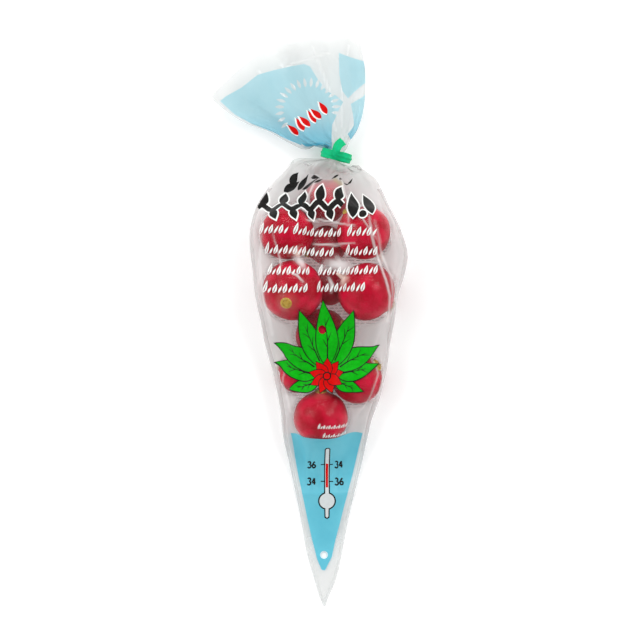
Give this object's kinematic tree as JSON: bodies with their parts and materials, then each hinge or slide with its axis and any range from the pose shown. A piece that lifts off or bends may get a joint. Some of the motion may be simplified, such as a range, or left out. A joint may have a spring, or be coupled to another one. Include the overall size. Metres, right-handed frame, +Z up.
{
  "type": "bag of radishes",
  "caption": "Eleven topped radishes packed in a slim cone-shaped bag of printed clear film, closed near its mouth by a green wire tie, with the film's end fanned out. It lies on its back.",
  "frame": {"origin": "under the middle of the bag's bounding box, on the surface that the bag lies on", "axes": "+Y along the bag from its pointed tail to its open mouth, +X to the right as the printed side is read, +Z up, out of the printed side"},
  "size_m": [0.0994, 0.2866, 0.0437],
  "materials": {
    "radish_skin": "smooth, slightly waxy crimson skin",
    "clear_film": "clear glossy film",
    "tie_plastic": "satin green",
    "tie_steel": "drawn wire"
  },
  "bodies": {
    "root": {"radish_top": "radish_skin", "radish_upper_left": "radish_skin", "radish_upper_right": "radish_skin", "radish_back_upper": "radish_skin", "radish_back_lower": "radish_skin", "radish_middle_left": "radish_skin", "radish_middle_right": "radish_skin", "radish_lower_centre": "radish_skin", "radish_lower_right": "radish_skin", "radish_lower_left": "radish_skin", "radish_bottom": "radish_skin", "bag_film": "clear_film", "tie_strip": "tie_plastic", "tie_wire": "tie_steel"}
  },
  "joints": []
}
